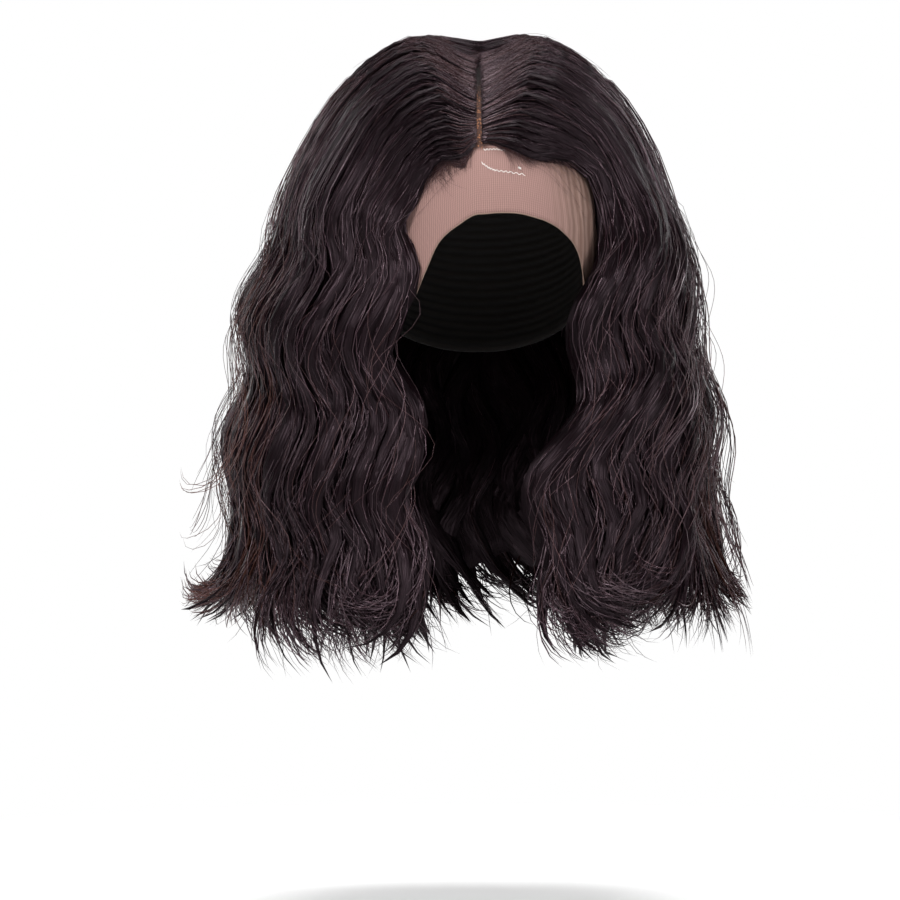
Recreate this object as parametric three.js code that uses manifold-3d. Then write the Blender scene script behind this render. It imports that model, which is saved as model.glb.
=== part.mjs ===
// Centre-parted bob wig in its worn form: a lace front, a net cap and three masses of wavy hair.
// Millimetres, +Z up. The face looks towards -Y. Left and right are as seen from the front, so the
// left side is at -X.
// The origin is the underside of the cap at the crown, where the wig sits on a head.
import * as THREE from "three";
import { ParametricGeometry } from "three/addons/geometries/ParametricGeometry.js";
import { mergeVertices } from "three/addons/utils/BufferGeometryUtils.js";
import Module from "manifold-3d";

// Head that the cap fits
const HEAD_WIDTH = 156;
const HEAD_LENGTH = 196;
const CROWN_RISE = 100; // widest level of the head up to the crown
const NAPE_FALL = 112; // widest level down to where the form of the cap would close

// Cap and lace
const NET_WALL = 1.2;
const PIECE_GAP = 0.3;
const CAP_DEPTH = 158; // crown to nape edge
const HAIRLINE_SETBACK = 13; // hairline at the parting, behind the foremost point of the head
const SEAM_SETBACK = 82; // lace seam behind the hairline at the parting

// Hair
const HAIR_DROP = 336; // crown to the lowest tips
const CROWN_LIFT = 25; // thickness of the hair over the crown
const SIDE_SPREAD = 78; // how far the hair stands out beyond the head, at most, to each side
const LENGTH_SPREAD = 28; // and to the front and back
const PART_WIDTH = 2.6; // bare line between the two sides
const CLOSED_WIDTH = 0.8; // where they meet again, behind the parting
const PART_LENGTH = 66;
const WHORL_SETBACK = 120; // where the back hair starts, behind the hairline
const WAVE_LENGTH = 76;
const WAVE_SWAY = 7.5; // sideways amplitude of the waves
const WAVE_SWELL = 4.5; // amplitude towards and away from the head

// Lower edge of the cap and lace, by azimuth from the face; left and right are shares of CAP_DEPTH.
// The lace sits lower on the left temple than on the right one.
const RIM = [
  { azimuth: 0, left: 0.545, right: 0.545 },
  { azimuth: 8, left: 0.58, right: 0.54 },
  { azimuth: 16, left: 0.64, right: 0.542 },
  { azimuth: 22, left: 0.74, right: 0.553 },
  { azimuth: 28, left: 0.83, right: 0.568 },
  { azimuth: 35, left: 0.86, right: 0.6 },
  { azimuth: 43, left: 0.87, right: 0.668 },
  { azimuth: 51, left: 0.87, right: 0.83 },
  { azimuth: 62, left: 0.87, right: 0.87 },
  { azimuth: 75, left: 0.79, right: 0.79 },
  { azimuth: 95, left: 0.74, right: 0.74 },
  { azimuth: 115, left: 0.79, right: 0.79 },
  { azimuth: 140, left: 0.93, right: 0.93 },
  { azimuth: 160, left: 0.985, right: 0.985 },
  { azimuth: 180, left: 1, right: 1 },
];

// Outer face of the hair, by its drop as a share of HAIR_DROP. left and right are shares of
// SIDE_SPREAD, front and back of LENGTH_SPREAD, all beyond the head's own size. Over the head they
// are the sizes of a dome that ends at its widest level.
const OUTSIDE = [
  { drop: 0, left: 0.46, right: 0.46, front: 0.45, back: 0.8 },
  { drop: 0.1, left: 0.39, right: 0.38, front: 0.45, back: 0.82 },
  { drop: 0.2, left: 0.41, right: 0.4, front: 0.45, back: 0.85 },
  { drop: 0.3, left: 0.53, right: 0.5, front: 0.45, back: 0.88 },
  { drop: 0.4, left: 0.67, right: 0.55, front: 0.42, back: 0.93 },
  { drop: 0.5, left: 0.71, right: 0.62, front: 0.45, back: 0.92 },
  { drop: 0.6, left: 0.79, right: 0.67, front: 0.5, back: 0.88 },
  { drop: 0.7, left: 0.82, right: 0.71, front: 0.6, back: 0.87 },
  { drop: 0.8, left: 0.85, right: 0.75, front: 0.72, back: 0.89 },
  { drop: 0.9, left: 1, right: 0.8, front: 0.86, back: 0.94 },
  { drop: 1, left: 0.95, right: 0.78, front: 0.95, back: 1 },
];

// Inner face of the hair: the room for the face, neck and shoulders, as shares of the head's
// half width (side) and half length (front, back)
const INSIDE = [
  { drop: 0.3, side: 1, front: 1, back: 1 },
  { drop: 0.4, side: 1, front: 0.945, back: 1 },
  { drop: 0.5, side: 0.985, front: 0.87, back: 0.94 },
  { drop: 0.6, side: 0.97, front: 0.835, back: 0.9 },
  { drop: 0.7, side: 0.98, front: 0.84, back: 0.9 },
  { drop: 0.8, side: 1.02, front: 0.88, back: 0.91 },
  { drop: 0.9, side: 1.08, front: 0.93, back: 0.945 },
  { drop: 1, side: 1.12, front: 0.97, back: 0.98 },
];

// Half width of the face opening between the front locks, as shares of the head's half width, and
// how square the plan of the hair is there: 1 is an ellipse, less is squarer
const OPENING = [
  { drop: 0.3, left: 0.487, right: 0.745, square: 1 },
  { drop: 0.4, left: 0.55, right: 0.745, square: 0.95 },
  { drop: 0.5, left: 0.51, right: 0.69, square: 0.9 },
  { drop: 0.6, left: 0.46, right: 0.56, square: 0.86 },
  { drop: 0.7, left: 0.39, right: 0.37, square: 0.84 },
  { drop: 0.8, left: 0.42, right: 0.33, square: 0.84 },
  { drop: 0.9, left: 0.42, right: 0.38, square: 0.84 },
  { drop: 1, left: 0.42, right: 0.45, square: 0.84 },
];

// Where the tips of the hair end, by place around the head: 0 at the back, 1 at the face
const HEM = [
  { place: 0, end: 0.98 },
  { place: 0.3, end: 0.965 },
  { place: 0.5, end: 0.91 },
  { place: 0.6, end: 0.915 },
  { place: 0.74, end: 0.97 },
  { place: 0.88, end: 1 },
  { place: 1, end: 0.975 },
];

// How the waves drift out of step around the head: the sum of these swings, in radians
const DRIFTS = [
  { size: 1.9, rate: 2.7, start: 0.6 },
  { size: 0.8, rate: 7.1, start: 0 },
];

// Lie of the hair over the head
const DOME_SHARE = 0.36; // share of a hair's run that lies over the head
const BACK_PLACE = 0.29; // the back hair spans this share of each side
const PLACE_GAP = 0.006; // parting between neighbouring masses, as a share of one side
const SINK = 0.8; // how far the hair's wall is drawn into the cap before it is trimmed to it
const LEAST_LIFT = 0.26; // thickness of the hair at the parting, as a share of its full thickness
const WHORL_LIFT = 0.8; // and at the roots behind the parting
const HAIRLINE_LIFT = 0.16; // and along the hairline
const FACE_LIFT = 0.52; // and along the edge beside the face
const FACE_RISE = 0.7; // radians down from the crown where the first starts to grow into the second
const FACE_BAND = 0.2; // width of that edge, as a share of one side
const HAIRLINE_DIP = 2.5; // how far forward the hair beside the hairline bows
const PART_BAND = 0.5; // share of each side whose roots spread back along the parting
const WHORL_FROM = 0.35; // share of each side, from the face, where roots move to the whorl
const WHORL_FULL = 0.58; // and where they have risen over the end of the parting
const PART_RISE = 0.3; // radians over which the hair rises beside the parting
const WAVES_FROM = 0.24; // share of a hair's run where the waves set in
const WAVES_FULL = 0.62; // and where they reach their full size

// Locks and the wall they are fused to; depths are shares of the hair's thickness
const SIDE_LOCKS = 7;
const BACK_LOCKS = 6;
const LOCK_OVERLAP = 0.6; // half width of a lock, as a share of the distance between locks
const LOCK_DEPTH = 0.68;
const RAISED_DEPTH = 0.76;
const LOCK_STAGGER = 0.035; // how much sooner every second lock ends
const TIP_TAPER = 0.11; // share of a hair's run over which a lock is drawn to a point
const TIP_FLARE = 0.16; // how far the tips turn away from the head
const TIP_CURL = 0.05; // how far the tips curl sideways, as a share of one side
const TIP_RUN = 0.17; // share of a hair's run that curls
const LOCK_SIDES = 5;
const BACKING_DEPTH = 0.62;
const BACKING_STEP = 0.06; // how much sooner the wall ends than the locks
const ROWS = 20; // rows of facets along a hair's run
const HEAD_COLUMNS = 28;
const HEAD_ROWS = 8;
const PLUG_ROWS = 4;
const NEAR_STEP = 1e-3; // millimetres within which points are one, and the step that finds a direction

const wasm = await Module();
wasm.setup();

// Value of one column between the rows of a table, on a smooth curve that is level at both ends
function along(rows, key, column, at) {
  const last = rows.length - 1;
  let i = 0;
  while (i < last - 1 && at > rows[i + 1][key]) i += 1;
  const span = rows[i + 1][key] - rows[i][key];
  const t = THREE.MathUtils.clamp((at - rows[i][key]) / span, 0, 1);
  const slope = (k) => {
    if (k === 0 || k === last) return 0;
    return (rows[k + 1][column] - rows[k - 1][column]) / (rows[k + 1][key] - rows[k - 1][key]);
  };
  const start = rows[i][column];
  const rise = rows[i + 1][column] - start;
  const lean = slope(i) * span;
  const leave = slope(i + 1) * span;
  return start + t * (lean + t * (3 * rise - 2 * lean - leave + t * (lean + leave - 2 * rise)));
}

// Smooth step from one share at the start of a range to 1 at its end
function grow(least, at, from, to) {
  return least + (1 - least) * THREE.MathUtils.smoothstep(at, from, to);
}

// Point on the head at an azimuth from the face and an angle down from the crown, lifted off it
function headPoint(azimuth, fall, lift) {
  const wide = (HEAD_WIDTH / 2 + lift) * Math.sin(fall);
  const long = (HEAD_LENGTH / 2 + lift) * Math.sin(fall);
  const high = (fall < Math.PI / 2 ? CROWN_RISE : NAPE_FALL) + lift;
  return new THREE.Vector3(
    wide * Math.sin(azimuth),
    -long * Math.cos(azimuth),
    high * Math.cos(fall) - CROWN_RISE,
  );
}

// Angle down from the crown at which the cap ends, at an azimuth from the face
function rimFall(azimuth) {
  const degrees = THREE.MathUtils.radToDeg(Math.abs(azimuth));
  const column = azimuth < 0 ? "left" : "right";
  const below = CAP_DEPTH * along(RIM, "azimuth", column, degrees) - CROWN_RISE;
  return Math.acos(-below / (below < 0 ? CROWN_RISE : NAPE_FALL));
}

// Geometry as a closed solid: shared vertices merged, collapsed triangles left out
function solidOf(geometry) {
  geometry.deleteAttribute("normal");
  geometry.deleteAttribute("uv");
  const merged = mergeVertices(geometry, NEAR_STEP);
  const corners = [];
  const index = merged.index.array;
  for (let i = 0; i < index.length; i += 3) {
    const [a, b, c] = [index[i], index[i + 1], index[i + 2]];
    if (a !== b && b !== c && c !== a) corners.push(a, b, c);
  }
  return new wasm.Manifold(
    new wasm.Mesh({
      numProp: 3,
      vertProperties: merged.attributes.position.array,
      triVerts: new Uint32Array(corners),
    }),
  );
}

// Shell of even wall over the head, open below: the lace and the cap before they are parted
function headShell(wall) {
  const stacks = 2 * HEAD_ROWS + 1;
  const shape = (u, v, target) => {
    const row = Math.round(v * stacks);
    const outside = row > HEAD_ROWS;
    const share = (outside ? stacks - row : row) / HEAD_ROWS;
    const azimuth = (u - 0.5) * 2 * Math.PI;
    target.copy(headPoint(azimuth, share * rimFall(azimuth), outside ? wall : 0));
  };
  return solidOf(new ParametricGeometry(shape, HEAD_COLUMNS, stacks));
}

// Full head form, larger by a lift, which trims the hair to its seat. Its facets follow those of
// the shell, and continue below the rim down to the level of the nape.
function headPlug(lift) {
  const stacks = HEAD_ROWS + PLUG_ROWS + 1;
  const shape = (u, v, target) => {
    const row = Math.round(v * stacks);
    const azimuth = (0.5 - u) * 2 * Math.PI;
    const rim = rimFall(azimuth);
    const below = THREE.MathUtils.clamp((row - HEAD_ROWS) / PLUG_ROWS, 0, 1);
    const fall = Math.min(row / HEAD_ROWS, 1) * rim + below * (rimFall(Math.PI) - rim);
    target.copy(headPoint(azimuth, fall, lift));
    if (row === stacks) target.set(0, 0, target.z);
  };
  return solidOf(new ParametricGeometry(shape, HEAD_COLUMNS, stacks));
}

// Box between two levels of y, wider and higher than the head, for parting the shell at a seam
function slab(front, back) {
  const reach = 2 * (HEAD_LENGTH + CROWN_RISE + NAPE_FALL);
  const box = new THREE.BoxGeometry(reach, back - front, reach);
  return solidOf(box.translate(0, (front + back) / 2, 0));
}

// How far forward a hair's root lies: along the parting for the sides, at the whorl for the back
function rootOf(place) {
  const hairline = HAIRLINE_SETBACK - HEAD_LENGTH / 2;
  const overPart = THREE.MathUtils.smoothstep(1 - place, 0, PART_BAND);
  const toWhorl = THREE.MathUtils.smoothstep(1 - place, WHORL_FROM, 1);
  return hairline + PART_LENGTH * overPart + (WHORL_SETBACK - PART_LENGTH) * toWhorl;
}

// Half sizes of the hair's plan at a share of the drop, between its inner (0) and outer (1) face
function planSizes(drop, depth, side) {
  const column = side < 0 ? "left" : "right";
  const size = (head, inner, spread, outer) => {
    const near = head * along(INSIDE, "drop", inner, drop) + NET_WALL - SINK;
    const far = head + spread * along(OUTSIDE, "drop", outer, drop);
    return near + (far - near) * depth;
  };
  return {
    across: size(HEAD_WIDTH / 2, "side", SIDE_SPREAD, column),
    front: size(HEAD_LENGTH / 2, "front", LENGTH_SPREAD, "front"),
    back: size(HEAD_LENGTH / 2, "back", LENGTH_SPREAD, "back"),
    edge: (along(OPENING, "drop", column, drop) * HEAD_WIDTH) / 2,
    square: along(OPENING, "drop", "square", drop),
  };
}

// Plan position of a hanging hair: place runs from the back (0) to the edge of the face (1)
function planPoint(place, side, sizes) {
  const start = Math.asin(Math.min(1, (sizes.edge / sizes.across) ** (1 / sizes.square)));
  const angle = Math.PI - (Math.PI - start) * place;
  const x = sizes.across * Math.sin(angle) ** sizes.square;
  const long = angle < Math.PI / 2 ? -sizes.front : sizes.back;
  return [side * x, long * Math.abs(Math.cos(angle)) ** sizes.square];
}

// Point on a straight hair. around runs from -1 (left of the face) through 0 (back) to 1.
// depth is 0 at the head and 1 at the outer face, reach is 0 at the root and 1 at the hem.
function straightHair(around, depth, reach) {
  const side = around < 0 ? -1 : 1;
  const place = Math.abs(around);
  const fall = Math.min(reach / DOME_SHARE, 1) * (Math.PI / 2);
  const overEnd = THREE.MathUtils.smoothstep(1 - place, WHORL_FROM, WHORL_FULL);
  const atRoot = LEAST_LIFT + (WHORL_LIFT - LEAST_LIFT) * overEnd;
  const inner = atRoot + (1 - atRoot) * grow(0, fall, 0, PART_RISE);
  const risen = THREE.MathUtils.smoothstep(fall, FACE_RISE, Math.PI / 2);
  const edge = HAIRLINE_LIFT + (FACE_LIFT - HAIRLINE_LIFT) * risen;
  const inward = THREE.MathUtils.smoothstep(1 - place, 0, FACE_BAND);
  const lifted = depth * (edge + (inner - edge) * inward);
  const level = CROWN_RISE / HAIR_DROP;
  const hung = Math.max(0, (reach - DOME_SHARE) / (1 - DOME_SHARE));
  const drop = level * (1 - Math.cos(fall)) + (1 - level) * hung;
  const sizes = planSizes(drop, lifted, side);
  const [x, y] = planPoint(place, side, sizes);
  if (hung > 0) return new THREE.Vector3(x, y, -HAIR_DROP * drop);
  const blend = Math.sin(fall);
  const between = PART_WIDTH + (CLOSED_WIDTH - PART_WIDTH) * overEnd;
  const rootX = (side * between * Math.min(1, place / BACK_PLACE)) / 2;
  const rootY = rootOf(place);
  const px = rootX + (x - rootX) * blend;
  const bow = HAIRLINE_DIP * (1 - inward) * Math.sin(Math.PI * blend);
  const py = rootY + (y - rootY) * blend - bow;
  const long = py < 0 ? sizes.front : sizes.back;
  const height = Math.sqrt(Math.max(0, 1 - (px / sizes.across) ** 2 - (py / long) ** 2));
  const near = CROWN_RISE + NET_WALL - SINK;
  const dome = near + (CROWN_RISE + CROWN_LIFT - near) * lifted;
  return new THREE.Vector3(px, py, dome * height - CROWN_RISE);
}

// The same hair with the waves set into it
function hairPoint(around, depth, reach) {
  const step = around > 0 ? -NEAR_STEP : NEAR_STEP;
  const at = straightHair(around, depth, reach);
  const beside = straightHair(around + step, depth, reach);
  const sideways = beside.sub(at).multiplyScalar(Math.sign(step)).normalize();
  const outward = straightHair(around, depth + NEAR_STEP, reach).sub(at).normalize();
  const run = reach * (HAIR_DROP + CROWN_LIFT);
  const drift = DRIFTS.reduce((sum, d) => sum + d.size * Math.sin(d.rate * around + d.start), 0);
  const angle = (2 * Math.PI * run) / WAVE_LENGTH + drift;
  const grown = grow(0, reach, WAVES_FROM, WAVES_FULL);
  at.addScaledVector(sideways, grown * WAVE_SWAY * Math.sin(angle));
  at.addScaledVector(outward, grown * WAVE_SWELL * depth * Math.cos(angle));
  return at;
}

// Share of the run at which a lock ends
function endOf(around, raised) {
  return along(HEM, "place", "end", Math.abs(around)) - raised * LOCK_STAGGER;
}

// Share of the run at a row of facets, which all locks have in common up to where each ends
function reachOf(row, end) {
  return Math.min(Math.max(0, row - 1) / ROWS, end);
}

// Wall of hair between two places, what the locks are fused to. It is thinned to nothing at its
// sides, and beside the face it starts from the head.
function backing(from, to, columns) {
  const rows = ROWS + 1;
  const shape = (u, v, target) => {
    const turn = Math.round(u * 2 * columns);
    const outside = turn <= columns;
    const column = outside ? turn : 2 * columns - turn;
    const row = Math.round(v * rows);
    const around = from + ((to - from) * column) / columns;
    const end = endOf(around, column % 2) - BACKING_STEP;
    const reach = reachOf(row, end);
    const atFace = Math.abs(around) === 1;
    const atEdge = column % columns === 0 || row === 0 || reach === end;
    const middle = atFace ? 0 : BACKING_DEPTH / 2;
    const depth = outside ? BACKING_DEPTH : 0;
    target.copy(hairPoint(around, atEdge ? middle : depth, reach));
  };
  return solidOf(new ParametricGeometry(shape, 2 * columns, rows));
}

// One lock: a flattened wavy strand, blunt at its root, drawn to a point and curled at its tip
function lock(around, halfWidth, depth, end, curl) {
  const rows = ROWS + 1;
  const shape = (u, v, target) => {
    const row = Math.round(v * rows);
    const turn = -u * 2 * Math.PI;
    const reach = reachOf(row, end);
    const body = row === 0 ? 0 : Math.sqrt(Math.min(1, (end - reach) / TIP_TAPER));
    const tip = THREE.MathUtils.smoothstep(reach, end - TIP_RUN, end);
    const place = around + halfWidth * body * Math.cos(turn) + curl * TIP_CURL * tip;
    const layer = depth + (1 - depth) * body * Math.sin(turn) + TIP_FLARE * tip;
    target.copy(hairPoint(place, layer, reach));
  };
  return solidOf(new ParametricGeometry(shape, LOCK_SIDES, rows));
}

// The largest body of a solid: closed pockets between locks are filled, slivers left out
function mainBody(solid) {
  const larger = (main, body) => (body.volume() > main.volume() ? body : main);
  return solid.decompose().reduce(larger);
}

// Locks side by side over a backing, fused into one solid and trimmed to its seat on the cap
function hairMass(from, to, locks, plug) {
  const pitch = (to - from) / locks;
  const halfWidth = pitch * LOCK_OVERLAP;
  const made = [backing(from, to, locks)];
  for (let i = 0; i < locks; i += 1) {
    const around = from + halfWidth + (to - from - 2 * halfWidth) * (i / (locks - 1));
    const raised = i % 2;
    const inward = i === 0 ? 1 : -1;
    const curl = i === 0 || i === locks - 1 ? inward : 1 - 2 * raised;
    const depth = raised ? RAISED_DEPTH : LOCK_DEPTH;
    made.push(lock(around, halfWidth, depth, endOf(around, raised), curl));
  }
  return mainBody(wasm.Manifold.union(made).subtract(plug));
}

// Mesh of a solid, in its material
function meshOf(name, solid, material) {
  const { numProp, vertProperties, triVerts } = solid.getMesh();
  const geometry = new THREE.BufferGeometry();
  geometry.setAttribute("position", new THREE.BufferAttribute(vertProperties, numProp));
  geometry.setIndex(new THREE.BufferAttribute(triVerts, 1));
  const mesh = new THREE.Mesh(geometry, material);
  mesh.name = name;
  return mesh;
}

// Material of one piece, with its own colour and roughness
function finish(color, roughness) {
  return new THREE.MeshStandardMaterial({ color, roughness, metalness: 0, flatShading: true });
}

const seam = HAIRLINE_SETBACK - HEAD_LENGTH / 2 + SEAM_SETBACK;
const shell = headShell(NET_WALL);
const plug = headPlug(NET_WALL + PIECE_GAP);
const lace = shell.intersect(slab(-HEAD_LENGTH, seam));
const cap = shell.intersect(slab(seam + PIECE_GAP, HEAD_LENGTH));
const sideEdge = BACK_PLACE + PLACE_GAP;
const leftHair = hairMass(-1, -sideEdge, SIDE_LOCKS, plug);
const rightHair = hairMass(sideEdge, 1, SIDE_LOCKS, plug);
const backHair = hairMass(-BACK_PLACE, BACK_PLACE, BACK_LOCKS, plug);

const parts = new THREE.Group();
parts.add(meshOf("lace_front", lace, finish(0xa98d7b, 0.8)));
parts.add(meshOf("net_cap", cap, finish(0x17130f, 0.85)));
parts.add(meshOf("hair_left", leftHair, finish(0x1c1617, 0.42)));
parts.add(meshOf("hair_right", rightHair, finish(0x1c1617, 0.42)));
parts.add(meshOf("hair_back", backHair, finish(0x1a1415, 0.42)));

export default parts;
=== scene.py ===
"""Centre-parted wavy bob wig in its worn form: hair, lace front and net cap on a plain pale stage."""

import math

import bpy
import numpy as np
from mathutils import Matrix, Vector


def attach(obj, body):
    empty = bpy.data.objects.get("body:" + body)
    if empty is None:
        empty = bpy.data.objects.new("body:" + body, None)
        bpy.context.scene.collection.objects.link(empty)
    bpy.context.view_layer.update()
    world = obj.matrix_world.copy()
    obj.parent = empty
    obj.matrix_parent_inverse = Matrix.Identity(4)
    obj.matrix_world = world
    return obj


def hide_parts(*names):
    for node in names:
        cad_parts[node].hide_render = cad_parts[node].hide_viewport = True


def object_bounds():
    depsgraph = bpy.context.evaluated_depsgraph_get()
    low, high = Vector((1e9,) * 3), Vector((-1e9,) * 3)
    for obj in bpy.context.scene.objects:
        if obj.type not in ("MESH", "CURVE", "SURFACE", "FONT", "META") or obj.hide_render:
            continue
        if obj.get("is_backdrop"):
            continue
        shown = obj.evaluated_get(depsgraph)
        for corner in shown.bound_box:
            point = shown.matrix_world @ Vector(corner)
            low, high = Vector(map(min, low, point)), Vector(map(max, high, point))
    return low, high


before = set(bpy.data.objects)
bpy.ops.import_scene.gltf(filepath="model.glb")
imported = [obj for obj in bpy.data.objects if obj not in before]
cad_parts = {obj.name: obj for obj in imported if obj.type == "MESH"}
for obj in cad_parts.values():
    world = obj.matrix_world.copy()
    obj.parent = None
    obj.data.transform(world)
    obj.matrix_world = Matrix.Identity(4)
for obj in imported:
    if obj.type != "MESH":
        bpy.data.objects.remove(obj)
CAD_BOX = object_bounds()
rng = np.random.default_rng(14)
MM = 0.001

# Head, cap and hair, in millimetres: the frame's own sizes
HEAD_WIDTH, HEAD_LENGTH, CROWN_RISE, NAPE_FALL = 156.0, 196.0, 100.0, 112.0
NET_WALL, CAP_DEPTH, SINK = 1.2, 158.0, 0.8
HAIRLINE_SETBACK = 13.0
HAIR_DROP, CROWN_LIFT, SIDE_SPREAD, LENGTH_SPREAD = 336.0, 25.0, 78.0, 28.0
PART_WIDTH, PART_LENGTH, WHORL_SETBACK = 2.6, 66.0, 120.0
WAVE_LENGTH = 76.0
DOME_SHARE, BACK_PLACE, PART_RISE = 0.36, 0.29, 0.36
LEAST_LIFT, WHORL_LIFT, FACE_LIFT, FACE_BAND = 0.26, 0.64, 0.52, 0.2
HAIRLINE_LIFT, FACE_RISE = 0.16, 0.7
CORNER_PUSH, CORNER_AT, CORNER_WIDE, CORNER_BACK = 11.0, 0.27, 0.10, 0.030
WHORL_FROM, WHORL_FULL, CLOSED_WIDTH = 0.35, 0.58, -3.0
WAVES_FROM, WAVES_FULL, EARLY_SWAY = 0.16, 0.45, 0.6
LEAST_REACH, SMALL_STEP = 0.03, 2e-3
STRAY_FROM, STRAY_ROOM = 1.0, 11.0

RIM = np.array([  # azimuth, left, right
    (0, 0.545, 0.545), (8, 0.58, 0.54), (16, 0.64, 0.542), (22, 0.74, 0.553), (28, 0.83, 0.568),
    (35, 0.86, 0.6), (43, 0.87, 0.668), (51, 0.87, 0.83), (62, 0.87, 0.87), (75, 0.79, 0.79),
    (95, 0.74, 0.74), (115, 0.79, 0.79), (140, 0.93, 0.93), (160, 0.985, 0.985), (180, 1.0, 1.0),
])
OUTSIDE = np.array([  # drop, left, right, front, back
    (0, 0.46, 0.46, 0.45, 0.8), (0.1, 0.39, 0.38, 0.45, 0.82), (0.2, 0.41, 0.4, 0.45, 0.85),
    (0.3, 0.53, 0.5, 0.45, 0.88), (0.4, 0.67, 0.55, 0.42, 0.93), (0.5, 0.71, 0.62, 0.45, 0.92),
    (0.6, 0.79, 0.67, 0.5, 0.88), (0.7, 0.82, 0.71, 0.6, 0.87), (0.8, 0.85, 0.75, 0.72, 0.89),
    (0.9, 1, 0.8, 0.86, 0.94), (1, 0.95, 0.78, 0.95, 1),
])
INSIDE = np.array([  # drop, side, front, back
    (0.3, 1, 1, 1), (0.4, 1, 0.945, 1), (0.5, 0.985, 0.87, 0.94), (0.6, 0.97, 0.835, 0.9),
    (0.7, 0.98, 0.84, 0.9), (0.8, 1.02, 0.88, 0.91), (0.9, 1.08, 0.93, 0.945), (1, 1.12, 0.97, 0.98),
])
OPENING = np.array([  # drop, left, right, square
    (0.3, 0.487, 0.745, 1), (0.4, 0.55, 0.745, 0.95), (0.5, 0.51, 0.69, 0.9), (0.6, 0.46, 0.56, 0.86),
    (0.7, 0.39, 0.37, 0.84), (0.8, 0.42, 0.33, 0.84), (0.9, 0.42, 0.38, 0.84), (1, 0.42, 0.45, 0.84),
])
HAIRLINE = np.array([  # share of the way to the face opening, dip to the front on the left, on the right
    (0, 0, 0), (0.2, 4.6, 2.8), (0.45, 1.6, 4.8), (0.65, 0.3, 1.8), (0.85, 0.1, 0.3), (1, 0, 0),
])
HEM = np.array([  # place, end
    (0, 0.98), (0.3, 0.965), (0.5, 0.91), (0.6, 0.915), (0.74, 0.97), (0.88, 1), (1, 0.975),
])


# Hair coordinates: around runs from -1 to 1 with 0 at the back, depth and reach run from 0 to 1
def along(table, column, at):
    """Smooth curve through the rows of a table"""
    keys, values = table[:, 0], table[:, column]
    slopes = np.zeros(len(keys))
    slopes[1:-1] = (values[2:] - values[:-2]) / (keys[2:] - keys[:-2])
    cell = np.searchsorted(keys[1:-1], at, side="left")
    span = keys[cell + 1] - keys[cell]
    share = np.clip((at - keys[cell]) / span, 0, 1)
    rise = values[cell + 1] - values[cell]
    lean, leave = slopes[cell] * span, slopes[cell + 1] * span
    bend = share * (lean + leave - 2 * rise)
    return values[cell] + share * (lean + share * (3 * rise - 2 * lean - leave + bend))


def grow(least, at, start, full):
    """Smooth rise from least to 1 while at goes from start to full"""
    share = np.clip((at - start) / (full - start), 0, 1)
    return least + (1 - least) * share * share * (3 - 2 * share)


def bell(at, middle, width):
    """Rise to 1 at the middle and back to 0"""
    return np.exp(-(((at - middle) / width) ** 2))


def unit(vectors):
    return vectors / np.maximum(np.linalg.norm(vectors, axis=-1, keepdims=True), 1e-9)


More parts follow.
